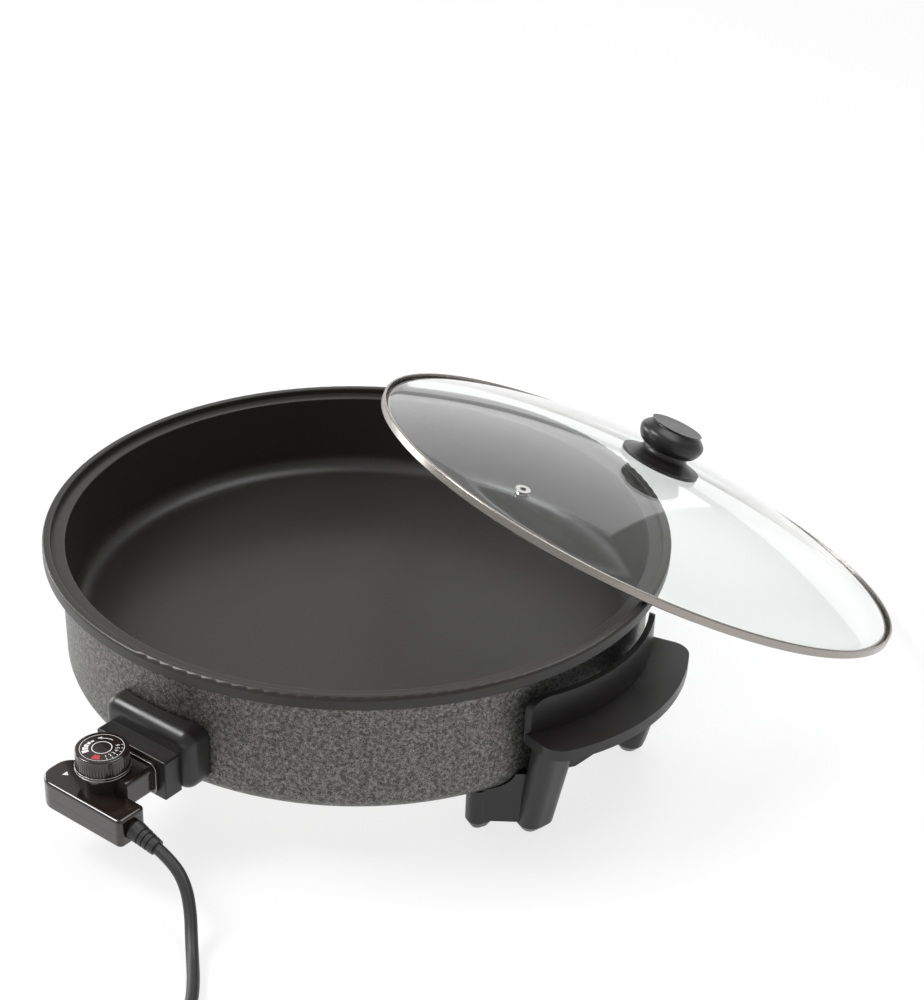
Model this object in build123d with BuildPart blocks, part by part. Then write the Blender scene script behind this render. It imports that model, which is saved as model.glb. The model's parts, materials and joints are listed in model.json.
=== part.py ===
from build123d import *
from math import atan2, cos, degrees, pi, radians, sin, sqrt, tan
import os

# Round electric griddle: cast pan on two leg handles, plug-in thermostat and a glass lid.
#
# Millimetres. The origin is the middle of the cooking surface, +Z is up, the lead leaves
# towards -Y and the handles stand on the X axis. The lid leans on the far side of the rim,
# with its lower edge just above the table. The socket and all that plugs into it are placed
# from the socket's axis, which is SOCKET_X to the right of the middle.

os.makedirs("parts", exist_ok=True)

# ---- driving dimensions -------------------------------------------------------------------

TABLE = -61.5  # the surface the griddle stands on, below the cooking surface
FIT = 0.3  # gap between parts that lie against each other

RIM_R = 205.0  # outer radius of the rim band
RIM_TOP = 62.0  # the pan is this deep
RIM_WIDTH = 5.5  # ridge around the lid seat
BAND_HEIGHT = 9.0
SEAT_DROP = 4.0
SEAT_WIDTH = 9.0
WALL_R = 194.0
WALL = 3.5
FLOOR = 4.0
SKIRT_BOTTOM = TABLE + 29.5
SKIRT_CORNER = 16.0
SKIRT_LIP_R = 176.0

ELEMENT_R = 120.0  # heating ring below the cooking surface
ELEMENT_TUBE = 4.0
SOCKET_Z = -FLOOR - ELEMENT_TUBE - 0.1  # centre line of the terminals and the probe
PIN_PITCH = 22.0

SOCKET_X = 7.0
SHROUD_FRONT = -207.0
SHROUD_ROUND = 8.0
BOX_FRONT = -219.0
BOX_SIZE = (57.0, 27.0)
FLANGE_SIZE = (72.0, 41.0)

NOSE_SIZE = (42.0, 18.0)
COLLAR_GROWTH = 3.6  # the raised collar round the nose is this much wider
BAR_SIZE = (67.5, 21.0, 19.0)
BAR_REAR = -241.0
BAR_LEFT = -37.0  # the bar reaches further left than right of the socket
BAR_STEP_REAR = -233.5  # the left half of the bar is deeper
BAR_STEP_END = 8.0
BAR_TOP = TABLE + 52.0
SHELL = 2.0
CORD_HOLE_R = 4.6
CORD_HOLE_Z = TABLE + 42.5
DIAL_PLACE = (-2.0, -239.5)
DIAL_R = 16.5
NECK_R = 13.0  # round neck below the dial
DIAL_BOTTOM = TABLE + 63.0
DIAL_HEIGHT = 13.5
DIAL_RIBS = 56

GRIP_BOTTOM = TABLE + 70.0
GRIP_THICK = 7.5
GRIP_TIP_X = 236.5
GRIP_CORNER = (213.0, 76.0)
GUARD_TOP = TABLE + 101.5
GUARD_R = 130.0
GUARD_CENTRE_X = 80.0
GUARD_THICK = 4.0
RIB_DEPTH = 6.0  # below the grip, at its middle
LEG_SIDES = (-1, 1)

LID_R = 198.0
LID_TILT = 24.5
LID_LEAN = 62.2  # direction of the lean, from +X
LID_CENTRE = (94.9, 194.9, TABLE + 83.4)
DOME = 38.5
GLASS = 3.5
VENT_R = 160.0
VENT_ANGLE = -66.0

CORD_D = 7.4
COIL_CENTRE = (195.0, -385.0)
COIL_R = 40.0
COIL_HALF_WIDTH = 11.5
COIL_HEIGHT = 15.5


def level(z):
    """A horizontal plane at height z."""
    return Plane.XY.offset(z)


def socket_level(z):
    """A horizontal plane at height z, with its x measured from the socket's axis."""
    return Plane(origin=(SOCKET_X, 0, z))


def facing_front(x, y, z):
    """A vertical plane that faces -Y, at x from the socket's axis: its y is Z."""
    return Plane(origin=(SOCKET_X + x, y, z), x_dir=(1, 0, 0), z_dir=(0, -1, 0))


def corner(sketch, x, y):
    """The sketch's corner nearest to (x, y)."""
    return sketch.vertices().sort_by_distance((x, y, 0))[0]


def save(node, label):
    node.part.label = label
    export_step(node.part, f"parts/{label}.step")


def arc_radii(points, share=0.45):
    """One arc for each corner of a route, as large as its two runs allow."""
    radii = []
    for before, here, after in zip(points, points[1:], points[2:]):
        first = Vector(*here) - Vector(*before)
        second = Vector(*after) - Vector(*here)
        half_turn = radians(first.get_angle(second)) / 2
        radii.append(share * min(first.length, second.length) / tan(half_turn))
    return radii


# ---- pan --------------------------------------------------------------------------------

ledge_z = RIM_TOP - SEAT_DROP
seat_r = RIM_R - RIM_WIDTH
shroud_screw_z = SOCKET_Z - 3.0
shroud_screw_pitch = 54.0
handle_screw_place = (171.0, 62.5)
handle_screw_spots = [
    (end * handle_screw_place[0], side * handle_screw_place[1])
    for end in (-1, 1)
    for side in LEG_SIDES
]
inner_top_r = seat_r - SEAT_WIDTH
inner_low_r = inner_top_r - 1.0
band_bottom = RIM_TOP - BAND_HEIGHT

with BuildPart() as pan_shell:
    with BuildSketch(Plane.XZ) as pan_section:
        with BuildLine():
            Polyline(
                (0, 0),
                (inner_low_r, 0),
                (inner_top_r, ledge_z),
                (seat_r, ledge_z),
                (seat_r, RIM_TOP),
                (RIM_R, RIM_TOP),
                (RIM_R, band_bottom),
                (WALL_R, band_bottom),
                (WALL_R - 1, SKIRT_BOTTOM),
                (SKIRT_LIP_R, SKIRT_BOTTOM),
                (SKIRT_LIP_R, SKIRT_BOTTOM + WALL),
                (WALL_R - 1 - WALL, SKIRT_BOTTOM + WALL),
                (WALL_R - 0.8 - WALL, -FLOOR),
                (0, -FLOOR),
                close=True,
            )
        make_face()
        fillet(corner(pan_section, inner_low_r, 0), 12)
        fillet(corner(pan_section, inner_top_r, ledge_z), 1)
        fillet(corner(pan_section, seat_r, RIM_TOP), 1.2)
        fillet(corner(pan_section, RIM_R, RIM_TOP), 2.2)
        fillet(corner(pan_section, RIM_R, band_bottom), 1.2)
        fillet(corner(pan_section, WALL_R - 1, SKIRT_BOTTOM), SKIRT_CORNER)
        fillet(corner(pan_section, WALL_R - 1 - WALL, SKIRT_BOTTOM + WALL), SKIRT_CORNER - WALL)
        fillet(corner(pan_section, WALL_R - 0.8 - WALL, -FLOOR), 2)
    revolve(axis=Axis.Z)
    with BuildSketch(facing_front(0, -150, SOCKET_Z - 1)):
        RectangleRounded(38, 12, 3)
    extrude(amount=60, mode=Mode.SUBTRACT)
    with BuildSketch(facing_front(0, -150, shroud_screw_z)):
        with GridLocations(shroud_screw_pitch, 0, 2, 1):
            Circle(2.1)
    extrude(amount=60, mode=Mode.SUBTRACT)
    with BuildSketch(level(SKIRT_BOTTOM - 5)):
        with Locations(handle_screw_spots):
            Circle(2.1)
    extrude(amount=15, mode=Mode.SUBTRACT)
save(pan_shell, "pan_shell")

# ---- base cover and its screws ------------------------------------------------------------

cover_z = SKIRT_BOTTOM + WALL + FIT
cover_posts = [(150 * cos(radians(a)), 150 * sin(radians(a))) for a in (90, 210, 330)]

with BuildPart() as base_posts:
    with BuildSketch(level(cover_z + 1.2)):
        with Locations(cover_posts):
            Circle(6)
            Circle(2, mode=Mode.SUBTRACT)
    extrude(amount=-FLOOR - cover_z - 1.2)
save(base_posts, "base_posts")

with BuildPart() as base_cover:
    with BuildSketch(level(cover_z)):
        Circle(WALL_R - WALL - 14)
        with Locations(cover_posts):
            Circle(2.4, mode=Mode.SUBTRACT)
        with PolarLocations(60, 12):
            SlotOverall(30, 5, rotation=0, mode=Mode.SUBTRACT)
    extrude(amount=1.2)
save(base_cover, "base_cover")

with BuildPart() as base_screws:
    with BuildSketch(level(cover_z - 0.1)):
        with Locations(cover_posts):
            Circle(4)
    extrude(amount=-2.2)
    with BuildSketch(level(cover_z - 0.1)):
        with Locations(cover_posts):
            Circle(1.96)
    extrude(amount=12)
save(base_screws, "base_screws")

# ---- heating element, terminals and probe well ----------------------------------------------

elbow_r = 18.0
cold_end_y = -172.0
elbow_x = PIN_PITCH / 2 + elbow_r
elbow_y = -sqrt((ELEMENT_R + elbow_r) ** 2 - elbow_x**2)
gap_angle = degrees(atan2(elbow_x, -elbow_y))

with BuildPart() as heating_element:
    with BuildLine(socket_level(SOCKET_Z)) as element_path:
        Line((PIN_PITCH / 2, cold_end_y), (PIN_PITCH / 2, elbow_y))
        CenterArc((elbow_x, elbow_y), elbow_r, 180, gap_angle - 90)
        CenterArc((0, 0), ELEMENT_R, gap_angle - 90, 360 - 2 * gap_angle)
        CenterArc((-elbow_x, elbow_y), elbow_r, 90 - gap_angle, gap_angle - 90)
        Line((-PIN_PITCH / 2, elbow_y), (-PIN_PITCH / 2, cold_end_y))
    with BuildSketch(facing_front(PIN_PITCH / 2, cold_end_y, SOCKET_Z)):
        Circle(ELEMENT_TUBE)
    sweep()
save(heating_element, "heating_element")

with BuildPart() as element_insulators:
    with BuildSketch(facing_front(0, cold_end_y, SOCKET_Z)):
        with GridLocations(PIN_PITCH, 0, 2, 1):
            Circle(5)
            Circle(2.5, mode=Mode.SUBTRACT)
    extrude(amount=10)
save(element_insulators, "element_insulators")

with BuildPart() as terminal_pins:
    with BuildSketch(facing_front(0, cold_end_y, SOCKET_Z)):
        with GridLocations(PIN_PITCH, 0, 2, 1):
            Circle(2.4)
    extrude(amount=38)
    fillet(terminal_pins.edges().filter_by(GeomType.CIRCLE).group_by(Axis.Y)[0], 1.5)
save(terminal_pins, "terminal_pins")

with BuildPart() as probe_well:
    with BuildSketch(facing_front(0, -96, SOCKET_Z)):
        Circle(4)
        Circle(3.3, mode=Mode.SUBTRACT)
    extrude(amount=88)
save(probe_well, "probe_well")

# ---- socket shroud --------------------------------------------------------------------------

box_z = TABLE + 53.5
flange_z = TABLE + 60.3
shroud_screw_head = -185.0
shroud_screw_tip = -202.0

with BuildPart() as socket_shroud:
    with BuildSketch(facing_front(0, -180, flange_z)):
        RectangleRounded(*FLANGE_SIZE, SHROUD_ROUND + 1)
    extrude(amount=-180 - SHROUD_FRONT)
    fillet(socket_shroud.faces().sort_by(Axis.Y)[0].edges(), SHROUD_ROUND)
    with BuildSketch(facing_front(0, SHROUD_FRONT + 1, box_z)):
        RectangleRounded(*BOX_SIZE, 1.5)
    extrude(amount=SHROUD_FRONT + 1 - BOX_FRONT)
    fillet(socket_shroud.faces().sort_by(Axis.Y)[0].edges(), 0.8)
    with BuildSketch(level(TABLE)):
        Circle(WALL_R + FIT)
    extrude(amount=150, mode=Mode.SUBTRACT)
    with BuildSketch(facing_front(0, -199, SOCKET_Z)):
        RectangleRounded(NOSE_SIZE[0] + 1.4, NOSE_SIZE[1] + 1.4, 3.7)
    extrude(amount=40, mode=Mode.SUBTRACT)
    with BuildSketch(facing_front(0, -180, SOCKET_Z)):
        RectangleRounded(36, 11, 3)
    extrude(amount=40, mode=Mode.SUBTRACT)
    with BuildSketch(facing_front(0, -180, shroud_screw_z)):
        with GridLocations(shroud_screw_pitch, 0, 2, 1):
            Circle(2.1)
    extrude(amount=-180 - shroud_screw_tip + FIT, mode=Mode.SUBTRACT)
save(socket_shroud, "socket_shroud")

with BuildPart() as shroud_screws:
    with BuildSketch(facing_front(0, shroud_screw_head, shroud_screw_z)):
        with GridLocations(shroud_screw_pitch, 0, 2, 1):
            Circle(3.6)
    extrude(amount=-1.8)
    with BuildSketch(facing_front(0, shroud_screw_head, shroud_screw_z)):
        with GridLocations(shroud_screw_pitch, 0, 2, 1):
            Circle(1.96)
    extrude(amount=shroud_screw_head - shroud_screw_tip)
save(shroud_screws, "shroud_screws")

# ---- handles --------------------------------------------------------------------------------

foot_outer = (188.0, 55.0)
foot_inner = (161.0, 75.0)
grip_post = (202.0, 58.0)
arm_top = SKIRT_BOTTOM - 0.1
arm_bottom = TABLE + 7.0
arm_angle = degrees(atan2(foot_inner[1] - foot_outer[1], foot_inner[0] - foot_outer[0]))
arm_length = sqrt((foot_inner[0] - foot_outer[0]) ** 2 + (foot_inner[1] - foot_outer[1]) ** 2)
arm_middle = ((foot_inner[0] + foot_outer[0]) / 2, (foot_inner[1] + foot_outer[1]) / 2)

with BuildPart() as grip_rib:
    # rib below the grip that grows down into the posts
    with BuildSketch(level(GRIP_BOTTOM + 1)):
        with BuildLine():
            rib_outer = ThreePointArc((201, -60), (224, 0), (201, 60))
            rib_inner = ThreePointArc((196, 60), (219, 0), (196, -60))
            Line(rib_outer @ 1, rib_inner @ 0)
            Line(rib_inner @ 1, rib_outer @ 0)
        make_face()
    extrude(amount=-24)
    with BuildSketch(Plane.YZ.offset(180)):
        with BuildLine():
            arch_foot = GRIP_BOTTOM - 19
            arch = ThreePointArc((-47, arch_foot), (0, GRIP_BOTTOM - RIB_DEPTH), (47, arch_foot))
            Polyline(arch @ 1, (62, arch_foot), (62, TABLE), (-62, TABLE), (-62, arch_foot), arch @ 0)
        make_face()
    extrude(amount=70, mode=Mode.SUBTRACT)

with BuildPart() as pan_clearance:
    # the outside of the pan's skirt, a little larger, to keep the handles off it
    with BuildSketch(Plane.XZ) as clearance_section:
        with BuildLine():
            Polyline(
                (0, SKIRT_BOTTOM - 0.1),
                (WALL_R + 0.4, SKIRT_BOTTOM - 0.1),
                (WALL_R + 0.4, RIM_TOP),
                (0, RIM_TOP),
                close=True,
            )
        make_face()
        fillet(corner(clearance_section, WALL_R + 0.4, SKIRT_BOTTOM - 0.1), SKIRT_CORNER)
    revolve(axis=Axis.Z)

with BuildPart() as handle_right:
    # upright guard between the grip and the pan
    with BuildSketch(level(GRIP_BOTTOM)):
        with Locations((GUARD_CENTRE_X, 0)):
            Circle(GUARD_R)
            Circle(GUARD_R - GUARD_THICK, mode=Mode.SUBTRACT)
    extrude(amount=GUARD_TOP - GRIP_BOTTOM)
    with BuildSketch(Plane.YZ.offset(180)) as guard_outline:
        with Locations((0, (GUARD_TOP + GRIP_BOTTOM) / 2)):
            Rectangle(136, GUARD_TOP - GRIP_BOTTOM)
        fillet(guard_outline.vertices().group_by(Axis.Y)[-1], 11)
    extrude(amount=60, mode=Mode.INTERSECT)
    # grip: a shelf that follows the guard
    with BuildSketch(level(GRIP_BOTTOM)) as grip_outline:
        with BuildLine():
            tip, reach = GRIP_CORNER
            outer = ThreePointArc((tip, -reach), (GRIP_TIP_X, 0), (tip, reach))
            inner = ThreePointArc((188.5, 70), (207.5, 0), (188.5, -70))
            Line(outer @ 1, inner @ 0)
            Line(inner @ 1, outer @ 0)
        make_face()
        fillet(grip_outline.vertices().group_by(Axis.X)[-1], 14)
    extrude(amount=GRIP_THICK)
    add(grip_rib.part)
    for side in LEG_SIDES:
        # leaning post from the grip to the outer foot
        with BuildSketch(level(TABLE)):
            with Locations((foot_outer[0], side * foot_outer[1])):
                RectangleRounded(11, 16, 5, rotation=side * 16)
        with BuildSketch(level(TABLE + 5)):
            with Locations((foot_outer[0] + 0.8, side * foot_outer[1])):
                RectangleRounded(18, 23, 8, rotation=side * 16)
        with BuildSketch(level(GRIP_BOTTOM + 1)):
            with Locations((grip_post[0], side * grip_post[1])):
                RectangleRounded(20, 27, 9, rotation=side * 16)
        loft(ruled=True)
        # inner foot below the pan
        with BuildSketch(level(TABLE)):
            with Locations((foot_inner[0], side * foot_inner[1])):
                RectangleRounded(9, 11, 4, rotation=side * 25)
        with BuildSketch(level(TABLE + 5)):
            with Locations((foot_inner[0], side * foot_inner[1])):
                RectangleRounded(15, 17, 6.5, rotation=side * 25)
        with BuildSketch(level(arm_top)):
            with Locations((foot_inner[0], side * foot_inner[1])):
                RectangleRounded(15, 17, 6.5, rotation=side * 25)
        loft(ruled=True)
        # arm that joins the two feet and carries the pan's skirt
        with BuildSketch(level(arm_bottom)):
            with Locations((arm_middle[0], side * arm_middle[1])):
                Rectangle(arm_length, 14, rotation=side * arm_angle)
            with Locations((handle_screw_place[0], side * handle_screw_place[1])):
                Circle(6.5)
        extrude(amount=arm_top - arm_bottom + 14)
    add(pan_clearance.part, mode=Mode.SUBTRACT)
    with BuildSketch(level(arm_bottom)):
        with Locations([spot for spot in handle_screw_spots if spot[0] > 0]):
            Circle(2.1)
    extrude(amount=arm_top - arm_bottom + 4, mode=Mode.SUBTRACT)
save(handle_right, "handle_right")

with BuildPart() as handle_left:
    mirror(handle_right.part, about=Plane.YZ)
save(handle_left, "handle_left")

with BuildPart() as handle_screws:
    with BuildSketch(level(arm_bottom - 0.1)):
        with Locations(handle_screw_spots):
            Circle(4)
    extrude(amount=-2.4)
    with BuildSketch(level(arm_bottom - 0.1)):
        with Locations(handle_screw_spots):
            Circle(1.95)
    extrude(amount=SKIRT_BOTTOM + 8 - arm_bottom)
save(handle_screws, "handle_screws")

# ---- thermostat: shells -----------------------------------------------------------------------

nose_rear = BOX_FRONT + 18
bar_front = BAR_REAR - BAR_SIZE[1]
bar_bottom = BAR_TOP - BAR_SIZE[2]
split_z = bar_bottom + 8
bar_middle_y = (BAR_REAR + bar_front) / 2
housing_screw_spots = [(-24.0, bar_middle_y), (22.5, bar_middle_y)]
cord_hole_plane = Plane.YZ.offset(SOCKET_X + BAR_SIZE[0] / 2 - 6)


def bar_outline(inset=0.0):
    """The thermostat's bar seen from above: its left half is deeper and has rounder corners."""
    left = BAR_LEFT + inset
    end = BAR_SIZE[0] / 2 - inset
    front = bar_front + inset
    rear = BAR_REAR - inset
    step = BAR_STEP_REAR - inset
    with BuildSketch(Plane.XY) as outline:
        with BuildLine():
            Polyline(
                (left, front),
                (end, front),
                (end, rear),
                (BAR_STEP_END - inset, rear),
                (BAR_STEP_END - inset, step),
                (left, step),
                close=True,
            )
        make_face()
        fillet(corner(outline, left, front), 12.5 - inset)
        fillet(corner(outline, left, step), 11.5 - inset)
        fillet([corner(outline, end, front), corner(outline, end, rear)], 3.5 - inset / 2)
    return outline.sketch


bar_outer = bar_outline()
bar_inner = bar_outline(SHELL)

with BuildPart() as thermostat_base:
    with BuildSketch(socket_level(bar_bottom)):
        add(bar_outer)
    extrude(amount=split_z - bar_bottom - 0.1)
    fillet(thermostat_base.faces().sort_by(Axis.Z)[0].edges(), 1.6)
    with BuildSketch(socket_level(bar_bottom + SHELL)):
        add(bar_inner)
    extrude(amount=20, mode=Mode.SUBTRACT)
    with BuildSketch(socket_level(bar_bottom + SHELL)):
        with Locations(housing_screw_spots):
            Circle(3.2)
    extrude(amount=split_z - bar_bottom - SHELL - 0.1)
    with BuildSketch(socket_level(bar_bottom)):
        with Locations(housing_screw_spots):
            Circle(1.6)
    extrude(amount=20, mode=Mode.SUBTRACT)
    with BuildSketch(cord_hole_plane):
        with Locations((bar_middle_y, CORD_HOLE_Z)):
            Circle(CORD_HOLE_R)
    extrude(amount=12, mode=Mode.SUBTRACT)
save(thermostat_base, "thermostat_base")

with BuildPart() as thermostat_cover:
    with BuildSketch(socket_level(split_z)):
        add(bar_outer)
    extrude(amount=BAR_TOP - split_z)
    fillet(thermostat_cover.faces().sort_by(Axis.Z)[-1].edges(), 2.0)
    with BuildSketch(facing_front(0, nose_rear, SOCKET_Z)):
        RectangleRounded(*NOSE_SIZE, 3)
    extrude(amount=nose_rear - BAR_REAR + 1.5)
    with BuildSketch(facing_front(0, BOX_FRONT - 0.4, SOCKET_Z)):
        RectangleRounded(NOSE_SIZE[0] + COLLAR_GROWTH, NOSE_SIZE[1] + COLLAR_GROWTH, 4.5)
    extrude(amount=1.6)
    with BuildSketch(socket_level(SOCKET_Z - NOSE_SIZE[1] / 2)):
        with Locations(DIAL_PLACE):
            Circle(NECK_R)
    extrude(amount=DIAL_BOTTOM - FIT - SOCKET_Z + NOSE_SIZE[1] / 2)
    # inside: the bar, the nose and the bore for the spindle
    with BuildSketch(socket_level(split_z)):
        add(bar_inner)
    extrude(amount=BAR_TOP - SHELL - split_z, mode=Mode.SUBTRACT)
    with BuildSketch(facing_front(0, nose_rear, SOCKET_Z)):
        RectangleRounded(NOSE_SIZE[0] - 2 * SHELL, NOSE_SIZE[1] - 2 * SHELL, 1.5)
    extrude(amount=nose_rear - BAR_REAR - 0.5, mode=Mode.SUBTRACT)
    with BuildSketch(facing_front(0, BAR_REAR + 2, BAR_TOP - 4)):
        Rectangle(NOSE_SIZE[0] - 8, 3)
    extrude(amount=5, mode=Mode.SUBTRACT)
    with BuildSketch(socket_level(split_z)):
        with Locations(DIAL_PLACE):
            Circle(3.05)
    extrude(amount=30, mode=Mode.SUBTRACT)
    with BuildSketch(socket_level(split_z)):
        with Locations(DIAL_PLACE):
            Circle(5.3)
    extrude(amount=BAR_TOP - SHELL - 2 - split_z, mode=Mode.SUBTRACT)
    with BuildSketch(socket_level(split_z)):
        with Locations(housing_screw_spots):
            Circle(3.2)
    extrude(amount=BAR_TOP - SHELL - split_z)
    with BuildSketch(socket_level(split_z)):
        with Locations(housing_screw_spots):
            Circle(1.3)
    extrude(amount=8, mode=Mode.SUBTRACT)
    with BuildSketch(cord_hole_plane):
        with Locations((bar_middle_y, CORD_HOLE_Z)):
            Circle(CORD_HOLE_R)
    extrude(amount=12, mode=Mode.SUBTRACT)
save(thermostat_cover, "thermostat_cover")

with BuildPart() as housing_screws:
    with BuildSketch(socket_level(bar_bottom - 0.1)):
        with Locations(housing_screw_spots):
            Circle(2.6)
    extrude(amount=-1.2)
    with BuildSketch(socket_level(bar_bottom - 0.1)):
        with Locations(housing_screw_spots):
            Circle(1.25)
    extrude(amount=14)
save(housing_screws, "housing_screws")

# ---- thermostat: what is inside ----------------------------------------------------------------

carrier_front = nose_rear - 1.0
carrier_depth = 12.0
sleeve_depth = 20.0

with BuildPart() as contact_carrier:
    with BuildSketch(facing_front(0, carrier_front, SOCKET_Z)):
        RectangleRounded(NOSE_SIZE[0] - 2 * SHELL - 0.4, NOSE_SIZE[1] - 2 * SHELL - 0.4, 1.3)
        with GridLocations(PIN_PITCH, 0, 2, 1):
            Circle(4.1, mode=Mode.SUBTRACT)
        Circle(3.1, mode=Mode.SUBTRACT)
    extrude(amount=carrier_depth)
save(contact_carrier, "contact_carrier")

with BuildPart() as contact_sleeves:
    with BuildSketch(facing_front(0, carrier_front - 0.5, SOCKET_Z)):
        with GridLocations(PIN_PITCH, 0, 2, 1):
            Circle(4.0)
            Circle(2.5, mode=Mode.SUBTRACT)
    extrude(amount=sleeve_depth)
save(contact_sleeves, "contact_sleeves")

with BuildPart() as sensor_probe:
    with BuildSketch(facing_front(0, -100, SOCKET_Z)):
        Circle(3.0)
    extrude(amount=-100 - carrier_front + 22)
    fillet(sensor_probe.edges().group_by(Axis.Y)[-1], 2.5)
save(sensor_probe, "sensor_probe")

frame_z = bar_bottom + SHELL + 0.2
with BuildPart() as thermostat_frame:
    with BuildSketch(socket_level(frame_z)):
        with Locations((0, bar_middle_y)):
            RectangleRounded(34, 12, 1)
    extrude(amount=1.2)
    with BuildSketch(socket_level(frame_z)):
        with Locations((-15, bar_middle_y)):
            Rectangle(1.2, 12)
    extrude(amount=11)
save(thermostat_frame, "thermostat_frame")

with BuildPart() as switch_blades:
    for lift in (3.4, 6.2):
        with BuildSketch(socket_level(frame_z + lift)):
            with Locations((-2, bar_middle_y - 1)):
                Rectangle(24, 4)
        extrude(amount=0.4)
save(switch_blades, "switch_blades")

with BuildPart() as blade_spacers:
    for start in (1.3, 3.9):
        with BuildSketch(socket_level(frame_z + start)):
            with Locations((-11, bar_middle_y - 1)):
                Rectangle(5, 6)
        extrude(amount=2.0)
save(blade_spacers, "blade_spacers")

with BuildPart() as switch_contacts:
    with BuildSketch(socket_level(frame_z + 3.85)):
        with Locations((7, bar_middle_y - 1)):
            Circle(1.6)
    extrude(amount=1.1)
    with BuildSketch(socket_level(frame_z + 6.15)):
        with Locations((7, bar_middle_y - 1)):
            Circle(1.6)
    extrude(amount=-1.05)
save(switch_contacts, "switch_contacts")

# ---- dial ---------------------------------------------------------------------------------------

dial_top = DIAL_BOTTOM + DIAL_HEIGHT
rib_r = DIAL_R - 0.5

with BuildPart() as dial_knob:
    with BuildSketch(socket_level(DIAL_BOTTOM)):
        with Locations(DIAL_PLACE):
            Circle(DIAL_R)
    extrude(amount=2.6)
    with BuildSketch(socket_level(DIAL_BOTTOM + 2.6)):
        with Locations(DIAL_PLACE):
            Circle(rib_r)
    extrude(amount=DIAL_HEIGHT - 2.6)
    fillet(dial_knob.edges().group_by(Axis.Z)[-1], 1.0)
    with BuildSketch(socket_level(DIAL_BOTTOM + 3.4)):
        with Locations(DIAL_PLACE):
            with PolarLocations(rib_r + 0.15, DIAL_RIBS):
                Circle(0.5)
    extrude(amount=DIAL_HEIGHT - 5.6, mode=Mode.SUBTRACT)
    with BuildSketch(socket_level(dial_top)):
        with Locations(DIAL_PLACE):
            Circle(DIAL_R - 2.2)
    extrude(amount=-0.7, mode=Mode.SUBTRACT)
    with BuildSketch(socket_level(DIAL_BOTTOM)):
        with Locations(DIAL_PLACE):
            Circle(3.0)
    extrude(amount=9, mode=Mode.SUBTRACT)
save(dial_knob, "dial_knob")

with BuildPart() as dial_face:
    with BuildSketch(socket_level(dial_top - 0.7)):
        with Locations(DIAL_PLACE):
            Circle(DIAL_R - 2.25)
    extrude(amount=0.5)
save(dial_face, "dial_face")

with BuildPart() as dial_spindle:
    with BuildSketch(socket_level(BAR_TOP - SHELL - 7)):
        with Locations(DIAL_PLACE):
            Circle(3.0)
    extrude(amount=DIAL_BOTTOM + 9 - BAR_TOP + SHELL + 7)
save(dial_spindle, "dial_spindle")

with BuildPart() as spindle_clip:
    with BuildSketch(socket_level(BAR_TOP - SHELL - 4)):
        with Locations(DIAL_PLACE):
            Circle(5)
            Circle(3.0, mode=Mode.SUBTRACT)
    extrude(amount=0.8)
save(spindle_clip, "spindle_clip")

# ---- lead: strain relief, cord, coil, tie and plug -------------------------------------------------

boot_start = (SOCKET_X + BAR_SIZE[0] / 2 - 0.5, bar_middle_y, CORD_HOLE_Z)
boot_droop = 14.0
boot_plane = Plane(
    origin=boot_start,
    x_dir=(0, 1, 0),
    z_dir=(cos(radians(boot_droop)), 0, -sin(radians(boot_droop))),
)
boot_length = 20.0

with BuildPart() as strain_relief:
    with BuildSketch(boot_plane.offset(1.8)):
        Circle(6.4)
    with BuildSketch(boot_plane.offset(boot_length)):
        Circle(4.9)
    loft()
    for step, groove_r in ((8.0, 5.2), (11.5, 4.9), (15.0, 4.6)):
        with BuildSketch(boot_plane.offset(step)):
            Circle(8)
            Circle(groove_r, mode=Mode.SUBTRACT)
        extrude(amount=1.6, mode=Mode.SUBTRACT)
    with BuildSketch(Plane.YZ.offset(boot_start[0] - 5)):
        with Locations((bar_middle_y, boot_start[2])):
            Circle(4.5)
    extrude(amount=6.6)
save(strain_relief, "strain_relief")

cord_start = boot_plane.origin + boot_plane.z_dir * boot_length
entry_angle = 185.0
coil_entry = (
    COIL_CENTRE[0] + COIL_R * cos(radians(entry_angle)),
    COIL_CENTRE[1] + COIL_R * sin(radians(entry_angle)),
    TABLE + 4.0,
)
CORD_ROUTE = [
    tuple(cord_start),
    (74.6, -252.2, TABLE + 33.8),
    (87.2, -256.2, TABLE + 26.0),
    (97.0, -263.3, TABLE + 17.0),
    (105.4, -271.8, TABLE + 9.2),
    (115.2, -281.2, TABLE + 4.9),
    (126.5, -292.2, TABLE + 4.0),
    (137.8, -305.5, TABLE + 4.0),
    (147.5, -322.0, TABLE + 4.0),
    (153.5, -342.5, TABLE + 4.0),
    (155.0, -365.0, TABLE + 4.0),
    coil_entry,
]
cord_radii = arc_radii(CORD_ROUTE)
print("cord radii", [round(r, 1) for r in cord_radii])

with BuildPart() as power_cord:
    with BuildLine() as cord_path:
        FilletPolyline(*CORD_ROUTE, radius=cord_radii)
    with BuildSketch(Plane(origin=cord_path.line @ 0, z_dir=cord_path.line % 0)):
        Circle(CORD_D / 2)
    sweep()
cord_length = sum(edge.length for edge in cord_path.edges())
print("cord volume", power_cord.part.volume, "section by length", pi * (CORD_D / 2) ** 2 * cord_length)
save(power_cord, "power_cord")

with BuildPart() as cord_coil:
    with BuildSketch(level(TABLE + 0.2)):
        with Locations(COIL_CENTRE):
            Circle(COIL_R + COIL_HALF_WIDTH)
            Circle(COIL_R - COIL_HALF_WIDTH, mode=Mode.SUBTRACT)
    extrude(amount=COIL_HEIGHT)
    fillet(cord_coil.edges(), 3.0)
save(cord_coil, "cord_coil")

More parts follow.
